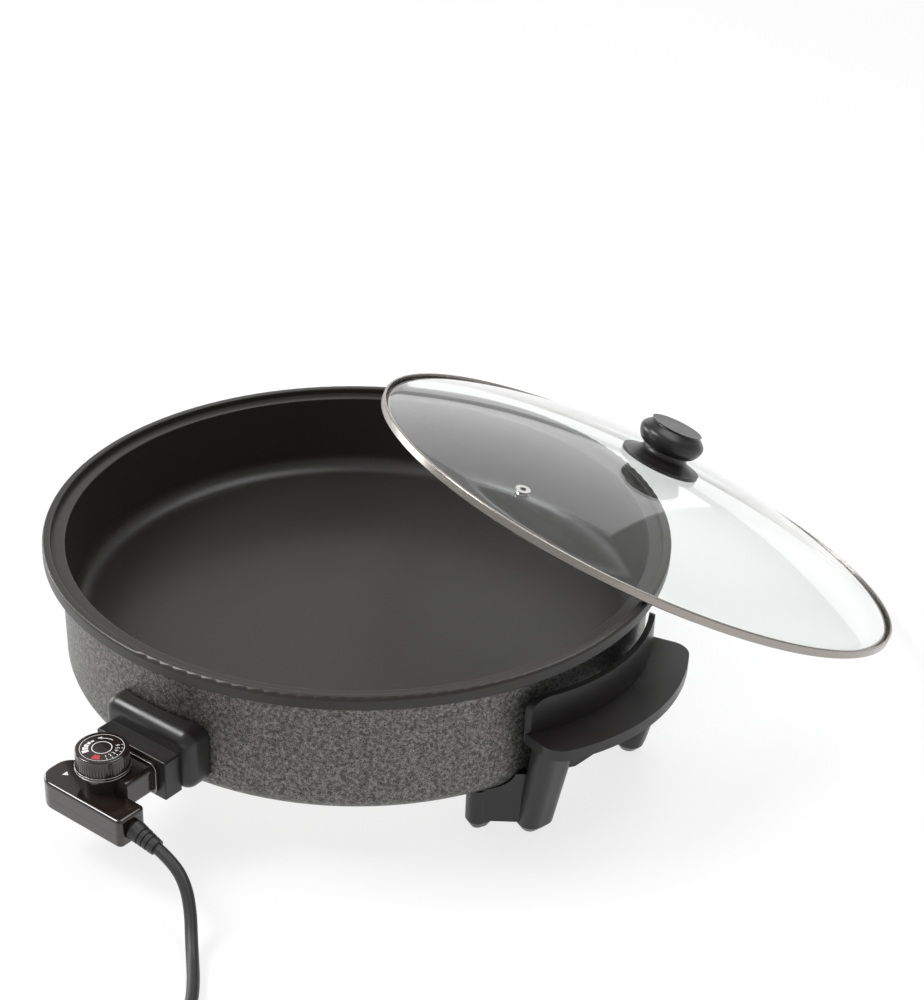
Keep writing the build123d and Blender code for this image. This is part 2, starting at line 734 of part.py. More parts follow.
tie_angle = 95.0
tie_plane = Plane(
    origin=(
        COIL_CENTRE[0] + COIL_R * cos(radians(tie_angle)),
        COIL_CENTRE[1] + COIL_R * sin(radians(tie_angle)),
        TABLE + 0.2 + COIL_HEIGHT / 2,
    ),
    x_dir=(cos(radians(tie_angle)), sin(radians(tie_angle)), 0),
    z_dir=(sin(radians(tie_angle)), -cos(radians(tie_angle)), 0),
)
with BuildPart() as coil_tie:
    with BuildSketch(tie_plane):
        RectangleRounded(2 * COIL_HALF_WIDTH + 2.6, COIL_HEIGHT + 0.2, 3.4)
        RectangleRounded(2 * COIL_HALF_WIDTH + 0.4, COIL_HEIGHT - 2.0, 2.4, mode=Mode.SUBTRACT)
    extrude(amount=3, both=True)
save(coil_tie, "coil_tie")

exit_angle = 315.0
exit_dir = Vector(-sin(radians(exit_angle)), cos(radians(exit_angle)), 0)
coil_exit = Vector(
    COIL_CENTRE[0] + COIL_R * cos(radians(exit_angle)),
    COIL_CENTRE[1] + COIL_R * sin(radians(exit_angle)),
    TABLE + 4.0,
)
PLUG_R = 18.0
plug_z = TABLE + PLUG_R + 0.2


def along_tail(distance, z):
    """A point above the straight line on which the cord leaves the coil."""
    return tuple(Vector(coil_exit.X, coil_exit.Y, z) + exit_dir * distance)


TAIL_ROUTE = [
    along_tail(0, TABLE + 4.0),
    along_tail(18, TABLE + 4.6),
    along_tail(36, TABLE + 10.5),
    along_tail(54, plug_z - 0.7),
    along_tail(70, plug_z),
]
tail_radii = arc_radii(TAIL_ROUTE)
print("tail radii", [round(r, 1) for r in tail_radii])

with BuildPart() as cord_tail:
    with BuildLine() as tail_path:
        FilletPolyline(*TAIL_ROUTE, radius=tail_radii)
    with BuildSketch(Plane(origin=tail_path.line @ 0, z_dir=tail_path.line % 0)):
        Circle(CORD_D / 2)
    sweep()
tail_length = sum(edge.length for edge in tail_path.edges())
print("tail volume", cord_tail.part.volume, "section by length", pi * (CORD_D / 2) ** 2 * tail_length)
save(cord_tail, "cord_tail")

plug_axis = Plane(origin=TAIL_ROUTE[-1], x_dir=(-exit_dir.Y, exit_dir.X, 0), z_dir=tuple(exit_dir))
boot_end = 20.0
plug_end = 56.0

with BuildPart() as plug_body:
    with BuildSketch(plug_axis.offset(0.3)):
        Circle(5.0)
    with BuildSketch(plug_axis.offset(boot_end)):
        Circle(6.5)
    loft()
    with BuildSketch(plug_axis.offset(boot_end)):
        Circle(11)
    with BuildSketch(plug_axis.offset(boot_end + 14)):
        Circle(PLUG_R - 0.6)
    loft()
    with BuildSketch(plug_axis.offset(boot_end + 14)):
        Circle(PLUG_R)
    extrude(amount=plug_end - boot_end - 14)
    with BuildSketch(plug_axis.offset(boot_end + 22)):
        with Locations((0, PLUG_R), (0, -PLUG_R)):
            Rectangle(5, 4)
    extrude(amount=20, mode=Mode.SUBTRACT)
save(plug_body, "plug_body")

with BuildPart() as plug_pins:
    with BuildSketch(plug_axis.offset(plug_end)):
        with GridLocations(19, 0, 2, 1):
            Circle(2.4)
    extrude(amount=19)
    fillet(plug_pins.edges().filter_by(GeomType.CIRCLE).sort_by_distance(plug_axis.origin)[-2:], 1.6)
save(plug_pins, "plug_pins")

with BuildPart() as plug_earth_clips:
    with BuildSketch(plug_axis.offset(boot_end + 23)):
        with Locations((0, PLUG_R - 1.2), (0, -PLUG_R + 1.2)):
            Rectangle(4, 1)
    extrude(amount=12)
save(plug_earth_clips, "plug_earth_clips")

# ---- lid ------------------------------------------------------------------------------------------

tilt = radians(LID_TILT)
lean = radians(LID_LEAN)
LID = Plane(
    origin=LID_CENTRE,
    x_dir=(sin(lean), -cos(lean), 0),
    z_dir=(sin(tilt) * cos(lean), sin(tilt) * sin(lean), cos(tilt)),
)
LID_SECTION = Plane(origin=LID_CENTRE, x_dir=LID.x_dir, z_dir=-LID.y_dir)
LID_AXIS = Axis(LID_CENTRE, LID.z_dir)

shoulder_r = 184.0
shoulder_drop = 30.5
edge_r = LID_R - 2.0
dome_slope = -2 * shoulder_drop / shoulder_r


def dome_height(radius):
    """Height of the glass's upper face above the lid's edge, inside the shoulder."""
    return DOME - shoulder_drop * (radius / shoulder_r) ** 2


def vent_plane():
    """The plane of the glass where the steam vent goes through."""
    angle = radians(VENT_ANGLE)
    across = LID.x_dir * cos(angle) + LID.y_dir * sin(angle)
    slope = dome_slope * VENT_R / shoulder_r
    up = LID.z_dir - across * slope
    place = LID.origin + across * VENT_R + LID.z_dir * dome_height(VENT_R)
    return Plane(origin=place, z_dir=up)


VENT = vent_plane()

with BuildPart() as lid_glass:
    with BuildSketch(LID_SECTION):
        with BuildLine():
            top = ThreePointArc(
                (0, DOME),
                (shoulder_r / 2, dome_height(shoulder_r / 2)),
                (shoulder_r, dome_height(shoulder_r)),
            )
            shoulder = Spline(top @ 1, (edge_r, 1.2), tangents=[top % 1, (0, -1)])
            Line(shoulder @ 1, (edge_r - GLASS, 1.2))
            under = ThreePointArc(
                (0, DOME - GLASS),
                (shoulder_r / 2, dome_height(shoulder_r / 2) - GLASS),
                (shoulder_r - 0.5, dome_height(shoulder_r) - GLASS),
            )
            Spline(under @ 1, (edge_r - GLASS, 1.2), tangents=[under % 1, (0, -1)])
            Line((0, DOME), (0, DOME - GLASS))
        make_face()
    revolve(axis=LID_AXIS)
    with BuildSketch(LID):
        Circle(3.2)
    extrude(amount=80, mode=Mode.SUBTRACT)
    with BuildSketch(VENT.offset(-20)):
        Circle(3.7)
    extrude(amount=40, mode=Mode.SUBTRACT)
save(lid_glass, "lid_glass")

with BuildPart() as lid_rim:
    with BuildSketch(LID_SECTION) as rim_section:
        with BuildLine():
            Polyline(
                (edge_r - GLASS - 1.3, 0),
                (LID_R, 0),
                (LID_R, 6),
                (edge_r + 0.4, 6),
                (edge_r + 0.4, 0.9),
                (edge_r - GLASS - 0.3, 0.9),
                (edge_r - GLASS - 0.3, 1.5),
                (edge_r - GLASS - 1.3, 1.5),
                close=True,
            )
        make_face()
        fillet(corner(rim_section, LID_R, 0), 0.9)
        fillet(corner(rim_section, LID_R, 6), 0.9)
    revolve(axis=LID_AXIS)
save(lid_rim, "lid_rim")

with BuildPart() as vent_grommet:
    with BuildSketch(VENT.offset(0.1)):
        Circle(5.0)
    extrude(amount=0.9)
    with BuildSketch(VENT.offset(-GLASS - 1.2)):
        Circle(3.5)
    extrude(amount=GLASS + 1.5)
    with BuildSketch(VENT.offset(-GLASS - 0.9)):
        Circle(4.8)
    extrude(amount=0.6)
    with BuildSketch(VENT.offset(-20)):
        Circle(2.2)
    extrude(amount=40, mode=Mode.SUBTRACT)
save(vent_grommet, "vent_grommet")

knob_seat = DOME + 0.1

with BuildPart() as knob_base:
    with BuildSketch(LID_SECTION) as base_section:
        with BuildLine():
            flare = Spline(
                (29, knob_seat + 2.4),
                (20.5, knob_seat + 5.4),
                (16.5, knob_seat + 10.4),
                tangents=[(-1, 0.1), (0, 1)],
            )
            Polyline(flare @ 1, (2.5, knob_seat + 10.4), (2.5, knob_seat), (29, knob_seat), flare @ 0)
        make_face()
    revolve(axis=LID_AXIS)
save(knob_base, "knob_base")

cap_bottom = knob_seat + 10.5
cap_top = knob_seat + 28.5
with BuildPart() as lid_knob:
    with BuildSketch(LID_SECTION) as cap_section:
        with BuildLine():
            side = Spline(
                (17.0, cap_bottom),
                (23.2, cap_bottom + 6.5),
                (23.6, cap_bottom + 11.5),
                (18.5, cap_top - 1.2),
                (0, cap_top),
                tangents=[(1, 0.35), (-1, 0)],
            )
            Polyline(side @ 1, (0, cap_top - 8), (2.5, cap_top - 8), (2.5, cap_bottom), side @ 0)
        make_face()
    revolve(axis=LID_AXIS)
save(lid_knob, "lid_knob")

with BuildPart() as knob_screw:
    with BuildSketch(LID.offset(DOME - GLASS - 3.6)):
        Circle(5.5)
    extrude(amount=2.4)
    with BuildSketch(LID.offset(DOME - GLASS - 2.0)):
        Circle(2.42)
    extrude(amount=24)
save(knob_screw, "knob_screw")

with BuildPart() as knob_washer:
    with BuildSketch(LID.offset(DOME - GLASS - 1.15)):
        Circle(9)
        Circle(2.6, mode=Mode.SUBTRACT)
    extrude(amount=1.0)
save(knob_washer, "knob_washer")
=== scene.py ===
import json
import math

import bmesh
import bpy
from mathutils import Matrix, Vector


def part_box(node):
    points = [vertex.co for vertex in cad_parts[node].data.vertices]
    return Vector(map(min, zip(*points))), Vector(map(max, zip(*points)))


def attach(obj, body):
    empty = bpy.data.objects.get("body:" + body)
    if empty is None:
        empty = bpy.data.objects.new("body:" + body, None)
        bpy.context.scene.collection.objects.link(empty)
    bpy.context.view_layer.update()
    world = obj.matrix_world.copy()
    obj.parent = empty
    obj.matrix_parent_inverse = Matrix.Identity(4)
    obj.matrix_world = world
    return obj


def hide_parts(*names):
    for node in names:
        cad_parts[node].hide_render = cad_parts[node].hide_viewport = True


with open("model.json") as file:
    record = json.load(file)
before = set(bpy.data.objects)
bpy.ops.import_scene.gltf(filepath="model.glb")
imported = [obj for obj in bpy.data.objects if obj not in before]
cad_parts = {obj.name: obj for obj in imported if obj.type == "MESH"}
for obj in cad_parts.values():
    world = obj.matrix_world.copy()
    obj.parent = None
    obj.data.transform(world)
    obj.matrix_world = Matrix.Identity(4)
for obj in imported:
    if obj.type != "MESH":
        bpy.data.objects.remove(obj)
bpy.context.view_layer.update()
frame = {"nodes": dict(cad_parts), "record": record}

# ---- driving sizes, in millimetres unless a name says otherwise --------------------------------

MM = 0.001
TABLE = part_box("handle_right")[0].z / MM  # the surface that the griddle stands on
RIM_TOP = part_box("pan_shell")[1].z / MM

CORD_D = 7.4
COIL_CENTRE = (195.0, -385.0)
COIL_ENTRY_DEG = 185.0
COIL_STEP_DEG = 15.0

# ---- node materials ----------------------------------------------------------------------------


class Shader:
    """A material with one Principled shader, and short ways to add nodes to it."""

    def __init__(self, name, colour, roughness, metallic=0.0):
        self.material = bpy.data.materials.new(name)
        self.material.use_nodes = True
        self.tree = self.material.node_tree
        self.principled = self.tree.nodes["Principled BSDF"]
        self.set(Base_Color=(*colour, 1.0), Roughness=roughness, Metallic=metallic)
        self.place = self.node("ShaderNodeTexCoord").outputs["Object"]

    def node(self, kind, settings=None, **inputs):
        made = self.tree.nodes.new(kind)
        for key, value in (settings or {}).items():
            setattr(made, key, value)
        self.fill(made, inputs)
        return made

    def fill(self, node, inputs):
        """Set or link inputs, named as in Blender with _ for a space, or n and the input's number."""
        for key, value in inputs.items():
            numbered = key[0] == "n" and key[1:].isdigit()
            socket = node.inputs[int(key[1:]) if numbered else key.replace("_", " ")]
            if isinstance(value, bpy.types.NodeSocket):
                self.tree.links.new(value, socket)
            else:
                socket.default_value = value

    def set(self, **inputs):
        self.fill(self.principled, inputs)

    def noise(self, scale, detail=2.0, rough=0.5, place=None):
        made = self.node(
            "ShaderNodeTexNoise",
            {"noise_dimensions": "3D"},
            Vector=place or self.place,
            Scale=scale,
            Detail=detail,
            Roughness=rough,
        )
        return made.outputs["Fac"]

    def remap(self, value, low, high, to_low, to_high):
        made = self.node(
            "ShaderNodeMapRange",
            None,
            Value=value,
            From_Min=low,
            From_Max=high,
            To_Min=to_low,
            To_Max=to_high,
        )
        return made.outputs["Result"]

    def mix(self, share, first, second):
        """Colour mix. share is a number or a socket; first and second are colours or sockets."""
        a, b = (c if isinstance(c, bpy.types.NodeSocket) else (*c, 1.0) for c in (first, second))
        return self.node("ShaderNodeMix", {"data_type": "RGBA"}, n0=share, n6=a, n7=b).outputs[2]

    def arithmetic(self, operation, first, second):
        return self.node("ShaderNodeMath", {"operation": operation}, n0=first, n1=second).outputs[0]

    def bump(self, height, strength, distance):
        made = self.node("ShaderNodeBump", None, Height=height, Strength=strength, Distance=distance)
        self.set(Normal=made.outputs["Normal"])


MOTTLE = 0.25  # how far the colour of moulded plastic strays from its mean, as a share of it


def moulded(name, colour, roughness, relief, grain=900.0, coat=0.0):
    """Moulded plastic: a faint grain, and colour and gloss that vary a little."""
    s = Shader(name, colour, roughness)
    broad = s.noise(18.0, 3.0)
    darker = tuple(c * (1 - MOTTLE) for c in colour)
    lighter = tuple(c * (1 + MOTTLE) for c in colour)
    s.set(Base_Color=s.mix(broad, darker, lighter))
    s.set(Roughness=s.remap(s.noise(55.0, 4.0), 0.3, 0.7, roughness * 0.85, roughness * 1.15))
    s.bump(s.noise(grain, 3.0), relief, 0.0002)
    s.set(Coat_Weight=coat)
    return s.material


BAND_BOTTOM = 52.8  # the outside of the pan is lacquered below the rim band
OUTER_WALL_R = 191.8
UNDERSIDE = -5.0  # everything lower than this is lacquered too
LACQUER_CELL = (0.030, 0.029, 0.0285)
LACQUER_SILVER = (0.27, 0.265, 0.255)
COATING_DARK = (0.013, 0.0115, 0.0105)
COATING_LIGHT = (0.026, 0.0235, 0.0215)
LACQUER_METALLIC = 0.75


def pan_finish():
    """Inside and rim: satin dark coating. Outside: dark lacquer with a fine net of silver."""
    s = Shader("pan_finish", (0.03, 0.03, 0.03), 0.42)
    # lacquer: silver net over dark cells, the whole slowly lighter and darker
    warp = s.node("ShaderNodeTexNoise", None, Vector=s.place, Scale=600.0, Detail=1.0).outputs["Color"]
    shifted = s.node(
        "ShaderNodeVectorMath",
        {"operation": "MULTIPLY_ADD"},
        n0=warp,
        n1=(0.0014, 0.0014, 0.0014),
        n2=s.place,
    ).outputs[0]
    cells = s.node("ShaderNodeTexVoronoi", {"feature": "DISTANCE_TO_EDGE"}, Vector=shifted, Scale=760.0)
    net = s.remap(cells.outputs["Distance"], 0.0, 0.36, 1.0, 0.0)
    patches = s.remap(s.noise(420.0, 3.0), 0.36, 0.64, 0.25, 1.0)
    speckle = s.arithmetic("MULTIPLY", net, patches)
    lacquer = s.mix(speckle, LACQUER_CELL, LACQUER_SILVER)
    # coating: a very fine orange peel and a faint speckle
    fine = s.remap(s.noise(1500.0, 2.0), 0.35, 0.75, 0.0, 1.0)
    coating = s.mix(fine, COATING_DARK, COATING_LIGHT)
    # where the lacquer is: outside the wall below the band, and everywhere below the floor
    parts = s.node("ShaderNodeSeparateXYZ", None, Vector=s.place)
    across = s.node("ShaderNodeCombineXYZ", None, X=parts.outputs["X"], Y=parts.outputs["Y"]).outputs[0]
    radius = s.node("ShaderNodeVectorMath", {"operation": "LENGTH"}, n0=across).outputs["Value"]
    outside = s.arithmetic("GREATER_THAN", radius, OUTER_WALL_R * MM)
    below_band = s.arithmetic("LESS_THAN", parts.outputs["Z"], BAND_BOTTOM * MM)
    below_floor = s.arithmetic("LESS_THAN", parts.outputs["Z"], UNDERSIDE * MM)
    wall = s.arithmetic("MULTIPLY", outside, below_band)
    lacquered = s.arithmetic("MAXIMUM", wall, below_floor)
    s.set(Base_Color=s.mix(lacquered, coating, lacquer))
    s.set(Metallic=s.arithmetic("MULTIPLY", lacquered, LACQUER_METALLIC))
    s.set(Roughness=s.remap(lacquered, 0.0, 1.0, 0.38, 0.42))
    grain = s.noise(900.0, 3.0)
    relief = s.node("ShaderNodeMath", {"operation": "MULTIPLY_ADD"}, n0=speckle, n1=lacquered, n2=grain)
    s.bump(relief.outputs[0], 0.15, 0.0003)
    return s.material


STREAK_SCALE = (40.0, 40.0, 900.0)


def metal(name, colour, roughness):
    """Drawn or brushed metal: long fine streaks in gloss and relief."""
    s = Shader(name, colour, roughness, 1.0)
    scaled = s.node("ShaderNodeVectorMath", {"operation": "MULTIPLY"}, n0=s.place, n1=STREAK_SCALE)
    streaks = s.noise(1.0, 5.0, 0.6, place=scaled.outputs[0])
    s.set(Roughness=s.remap(streaks, 0.3, 0.7, roughness * 0.75, roughness * 1.3))
    s.bump(streaks, 0.03, 0.0001)
    return s.material


def glass():
    """Clear tempered glass, faintly green-grey. Light from the lamps passes through it."""
    s = Shader("lid_glass_clear", (0.915, 0.935, 0.925), 0.0)
    s.set(Transmission_Weight=1.0, IOR=1.46)
    s.bump(s.noise(14.0, 2.0), 0.015, 0.002)
    clear = s.node("ShaderNodeBsdfTransparent", None, Color=(0.95, 0.965, 0.96, 1.0))
    blend = s.node(
        "ShaderNodeMixShader",
        None,
        n0=s.node("ShaderNodeLightPath").outputs["Is Shadow Ray"],
        n1=s.principled.outputs[0],
        n2=clear.outputs[0],
    )
    s.tree.links.new(blend.outputs[0], s.tree.nodes["Material Output"].inputs["Surface"])
    return s.material


def plain(name, colour, roughness, metallic=0.0):
    """A small part's finish: colour and gloss with a fine mottle."""
    s = Shader(name, colour, roughness, metallic)
    fine = s.noise(700.0, 3.0)
    darker = tuple(c * 0.85 for c in colour)
    lighter = tuple(min(1.0, c * 1.1) for c in colour)
    s.set(Base_Color=s.mix(s.remap(fine, 0.3, 0.7, 0.0, 1.0), darker, lighter))
    s.bump(fine, 0.05, 0.0001)
    return s.material


LOOKS = {
    "pan_finish": pan_finish(),
    "bakelite": moulded("bakelite", (0.015, 0.0135, 0.013), 0.34, relief=0.06),
    "gloss": moulded("gloss_black", (0.016, 0.011, 0.009), 0.14, relief=0.012, coat=0.6),
    "knob": moulded("knob_black", (0.012, 0.011, 0.0105), 0.33, relief=0.02),
    "rubber": moulded("cord_rubber", (0.022, 0.021, 0.021), 0.45, grain=1400.0, relief=0.08),
    "steel": metal("polished_steel", (0.72, 0.71, 0.69), 0.2),
    "trim": metal("bright_trim", (0.45, 0.44, 0.43), 0.38),
    "lid_band": metal("lid_band", (0.36, 0.335, 0.31), 0.24),
    "sheath": metal("element_sheath", (0.2, 0.18, 0.17), 0.45),
    "ceramic": plain("ceramic", (0.78, 0.75, 0.69), 0.7),
    "bronze": plain("spring_bronze", (0.65, 0.46, 0.24), 0.3, 1.0),
    "gasket": plain("silicone", (0.10, 0.10, 0.10), 0.6),
    "white_print": plain("white_print", (0.78, 0.78, 0.76), 0.5),
    "red_print": plain("red_print", (0.45, 0.045, 0.04), 0.5),
    "glass": glass(),
}

NODE_LOOKS = {
    "pan_coating": "pan_finish",
    "steel": "steel",
    "element_sheath": "sheath",
    "ceramic": "ceramic",
    "spring_bronze": "bronze",
    "bakelite": "bakelite",
    "gloss_black": "gloss",
    "cord_rubber": "rubber",
    "glass": "glass",
    "gasket": "gasket",
}

# nodes whose look is not the one of their material slot
OWN_LOOKS = {"lid_rim": "lid_band", "lid_knob": "knob", "knob_base": "knob"}

for row in frame["record"]["subparts"]:
    node = frame["nodes"][row["node"]]
    node.data.materials.clear()
    look = OWN_LOOKS.get(row["node"], NODE_LOOKS[row["material_slot"]])
    node.data.materials.append(LOOKS[look])


def add_object(name, data):
    made = bpy.data.objects.new(name, data)
    bpy.context.scene.collection.objects.link(made)
    return made


# ---- the lead ----------------------------------------------------------------------------------

# The middle of the cord from the strain relief to the coil, and from the coil to the plug.
LEAD_ROUTE = [
    (59.656, -251.5, -23.838),
    (74.6, -252.2, -27.7),
    (87.2, -256.2, -35.5),
    (97.0, -263.3, -44.5),
    (105.4, -271.8, -52.3),
    (115.2, -281.2, -56.6),
    (126.5, -292.2, -57.5),
    (137.8, -305.5, -57.5),
    (147.5, -322.0, -57.5),
    (153.5, -342.5, -57.5),
    (155.0, -365.0, -57.5),
]
TAIL_ROUTE = [
    (228.7, -418.7, -50.1),
    (240.5, -405.0, -49.9),
    (250.6, -389.7, -48.2),
    (261.7, -375.3, -44.5),
    (272.783, -363.787, -43.3),
]
# The coil's turns: after so many turns, the radius and the height of the cord's middle above TABLE.
COIL_TURNS = [
    (0.0, 40.0, 4.0),
    (0.30, 40.0, 4.0),
    (0.80, 32.2, 4.0),
    (1.45, 32.2, 4.0),
    (1.90, 32.2, 11.4),
    (2.20, 32.2, 11.4),
    (2.80, 40.0, 11.4),
    (3.25, 40.0, 11.4),
    (3.50, 47.7, 11.0),
    (3.68, 47.7, 4.2),
    (3.88, 47.7, 11.4),
    (4.30, 47.7, 11.4),
]


def coil_points():
    """Points along the coil's turns, every COIL_STEP_DEG, eased from one row of COIL_TURNS to the next."""
    points = []
    steps = int(COIL_TURNS[-1][0] * 360 / COIL_STEP_DEG)
    for step in range(steps + 1):
        turns = step * COIL_STEP_DEG / 360
        before = max(row for row in COIL_TURNS if row[0] <= turns)
        after = min((row for row in COIL_TURNS if row[0] > turns), default=before)
        share = (turns - before[0]) / (after[0] - before[0]) if after != before else 0.0
        share = share * share * (3 - 2 * share)
        radius = before[1] + (after[1] - before[1]) * share
        height = before[2] + (after[2] - before[2]) * share
        angle = math.radians(COIL_ENTRY_DEG) + 2 * math.pi * turns
        x = COIL_CENTRE[0] + radius * math.cos(angle)
        y = COIL_CENTRE[1] + radius * math.sin(angle)
        points.append((x, y, TABLE + height))
    return points


def make_cord():
    curve = bpy.data.curves.new("power_cord_flex", "CURVE")
    curve.dimensions = "3D"
    curve.bevel_depth = CORD_D / 2 * MM
    curve.bevel_resolution = 6
    curve.resolution_u = 6
    curve.use_fill_caps = True
    points = LEAD_ROUTE + coil_points() + TAIL_ROUTE
    spline = curve.splines.new("NURBS")
    spline.points.add(len(points) - 1)
    for target, point in zip(spline.points, points):
        target.co = (*(Vector(point) * MM), 1.0)
    spline.order_u = 3
    spline.use_endpoint_u = True
    cord = add_object("power_cord_flex", curve)
    curve.materials.append(LOOKS["rubber"])
    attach(cord, "thermostat")
    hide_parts("power_cord", "cord_coil", "cord_tail")
    return cord


cord = make_cord()

# ---- the lid's glass, turned smoothly ------------------------------------------------------------

LID_CENTRE = (94.9, 194.9, TABLE + 83.4)
LID_TILT_DEG = 24.5
LID_LEAN_DEG = 62.2
LID_CROWN = 38.5
LID_FALL = 30.5  # the glass is this much lower at its shoulder than in the middle
LID_SHOULDER_R = 184.0
LID_EDGE_R = 196.0
LID_EDGE_Z = 1.3
LID_EDGE_RISE = 0.3  # the least height of the rounded edge above its foot
INNER_INSET = 0.5  # the inner face's shoulder is this much nearer the middle
GLASS_THICK = 3.5
KNOB_HOLE_R = 3.2
FACE_STEPS = 40
TURN_STEPS = 288


def bent(start, control, end, steps=10):
    """Points of a quadratic curve, without its start."""
    points = []
    for i in range(1, steps + 1):
        t = i / steps
        shares = ((1 - t) ** 2, 2 * t * (1 - t), t * t)
        points.append(tuple(sum(w * p[k] for w, p in zip(shares, (start, control, end))) for k in (0, 1)))
    return points


def glass_face(drop, shoulder_r, edge_r):
    """One face of the glass from its middle to its edge, as (radius, height)."""
    radii = [KNOB_HOLE_R + (shoulder_r - KNOB_HOLE_R) * i / FACE_STEPS for i in range(FACE_STEPS + 1)]
    points = [(r, LID_CROWN - drop - LID_FALL * (r / LID_SHOULDER_R) ** 2) for r in radii]
    slope = -2 * LID_FALL * shoulder_r / LID_SHOULDER_R**2
    meeting = max(LID_EDGE_Z + LID_EDGE_RISE, points[-1][1] + slope * (edge_r - shoulder_r))
    return points + bent(points[-1], (edge_r, meeting), (edge_r, LID_EDGE_Z))


def make_glass():
    """The glass turned about the lid's own axis, with sharp corners where its faces end."""
    outer = glass_face(0.0, LID_SHOULDER_R, LID_EDGE_R)
    inner = glass_face(GLASS_THICK, LID_SHOULDER_R - INNER_INSET, LID_EDGE_R - GLASS_THICK)
    profile = outer + inner[::-1]
    tilt, lean = math.radians(LID_TILT_DEG), math.radians(LID_LEAN_DEG)
    up = Vector((math.sin(tilt) * math.cos(lean), math.sin(tilt) * math.sin(lean), math.cos(tilt)))
    across = Vector((math.sin(lean), -math.cos(lean), 0))
    along = up.cross(across)
    work = bmesh.new()
    rings = []
    for k in range(TURN_STEPS):
        a = 2 * math.pi * k / TURN_STEPS
        out = across * math.cos(a) + along * math.sin(a)
        rings.append([work.verts.new((Vector(LID_CENTRE) + out * r + up * z) * MM) for r, z in profile])
    for k in range(TURN_STEPS):
        first, second = rings[k], rings[(k + 1) % TURN_STEPS]
        for i in range(len(profile)):
            j = (i + 1) % len(profile)
            work.faces.new((first[i], first[j], second[j], second[i]))
    bmesh.ops.recalc_face_normals(work, faces=work.faces)
    sharp = (len(outer) - 1, len(outer), 0, len(profile) - 1)
    work.verts.index_update()
    corners = {ring[i].index for ring in rings for i in sharp}
    for edge in work.edges:
        ends = [v.index for v in edge.verts]
        around = abs(ends[0] - ends[1]) % len(profile) == 0
        edge.smooth = not (around and ends[0] in corners)
    mesh = bpy.data.meshes.new("lid_glass_turned")
    work.to_mesh(mesh)
    work.free()
    for polygon in mesh.polygons:
        polygon.use_smooth = True
    mesh.materials.append(LOOKS["glass"])
    piece = add_object("lid_glass_turned", mesh)
    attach(piece, "lid")
    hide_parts("lid_glass")


make_glass()

# ---- printed marks and bright lines --------------------------------------------------------------

DIAL_CENTRE = (5.0, -239.5)
DIAL_BOTTOM = TABLE + 63.0
DIAL_HEIGHT = 13.5
FACE_RECESS = 0.2
PRINT_LIFT = 0.04  # a print stands this far off the face, so that the two do not flicker
DIAL_FACE_Z = DIAL_BOTTOM + DIAL_HEIGHT - FACE_RECESS + PRINT_LIFT
DIAL_SKIRT_R = 16.5

# Marks on the dial's face. Radii and heights in millimetres, angles in degrees.
CIRCLES = ((5.6, 6.1), (12.9, 13.2))
WEDGES = 5  # a row of wedges that grow clockwise to the last one
WEDGE_START, WEDGE_PITCH, WEDGE_SPAN = 168, 17, 13
WEDGE_INNER, WEDGE_OUTER, WEDGE_GROWTH = 8.0, 9.4, 0.65
RED_MARK = (7.6, 12.0, 283, 309)
NUMERALS = 6
NUMERAL_START, NUMERAL_PITCH = 330, 17
NUMERAL_R, NUMERAL_HEIGHT = 9.3, 3.4
TICK_INNER, TICK_OUTER, TICK_HALF = 11.4, 12.4, 1.2
ARROW_ARC = (9.0, 9.5, 92, 140)
ARROW_HEAD = [(-7.6, 7.6), (-8.9, 4.9), (-5.9, 5.9)]

POINTER_CENTRE = (-18.5, -249.0)
POINTER_Z = TABLE + 52.0 + 0.03  # just off the top of the bar
POINTER = [(3.4, 0), (0, 2.1), (0, -2.1)]

DIAL_LINES = (("dial_line_low", 0.5), ("dial_line_high", 2.3))  # name, height above the dial's bottom
DIAL_LINE_SINK = 0.05
DIAL_LINE_WIRE_R = 0.22

NOSE_TRIM_CENTRE = (7.0, -221.0, -8.1)
NOSE_TRIM_SIZE = (44.8, 20.8)
NOSE_TRIM_CORNER_R = 4.2
NOSE_TRIM_WIRE_R = 0.3


def arc_band(inner, outer, start, end, steps=12):
    """Corners of a flat band of a ring, in degrees anticlockwise from +X."""
    angles = [math.radians(start + (end - start) * i / steps) for i in range(steps + 1)]
    far = [(outer * math.cos(a), outer * math.sin(a)) for a in angles]
    near = [(inner * math.cos(a), inner * math.sin(a)) for a in reversed(angles)]
    return far + near


def numeral(text, radius, angle, height):
    """Triangles of one digit that stands on the dial's face and reads from its rim."""
    curve = bpy.data.curves.new("numeral", "FONT")
    curve.body = text
    curve.size = height
    curve.align_x = "CENTER"
    curve.align_y = "CENTER"
    holder = bpy.data.objects.new("numeral", curve)
    mesh = holder.to_mesh()
    turn = math.radians(angle)
    middle = Vector((radius * math.cos(turn), radius * math.sin(turn)))
    spin = Matrix.Rotation(turn + math.pi / 2, 2)
    faces = []
    for polygon in mesh.polygons:
        faces.append([tuple(spin @ mesh.vertices[i].co.to_2d() + middle) for i in polygon.vertices])
    holder.to_mesh_clear()
    bpy.data.objects.remove(holder)
    return faces


def flat_piece(name, body, centre, z, shapes):
    """Thin flat shapes at height z. shapes: (corners, look), millimetres from centre."""
    looks = sorted({look for _, look in shapes})
    work = bmesh.new()
    for corners, look in shapes:
        verts = [work.verts.new(((centre[0] + x) * MM, (centre[1] + y) * MM, z * MM)) for x, y in corners]
        face = work.faces.new(verts)
        face.material_index = looks.index(look)
    work.faces.ensure_lookup_table()
    for face in work.faces:
        if face.normal.z < 0:
            face.normal_flip()
    mesh = bpy.data.meshes.new(name)
    work.to_mesh(mesh)
    work.free()
    for look in looks:
        mesh.materials.append(LOOKS[look])
    piece = add_object(name, mesh)
    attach(piece, body)


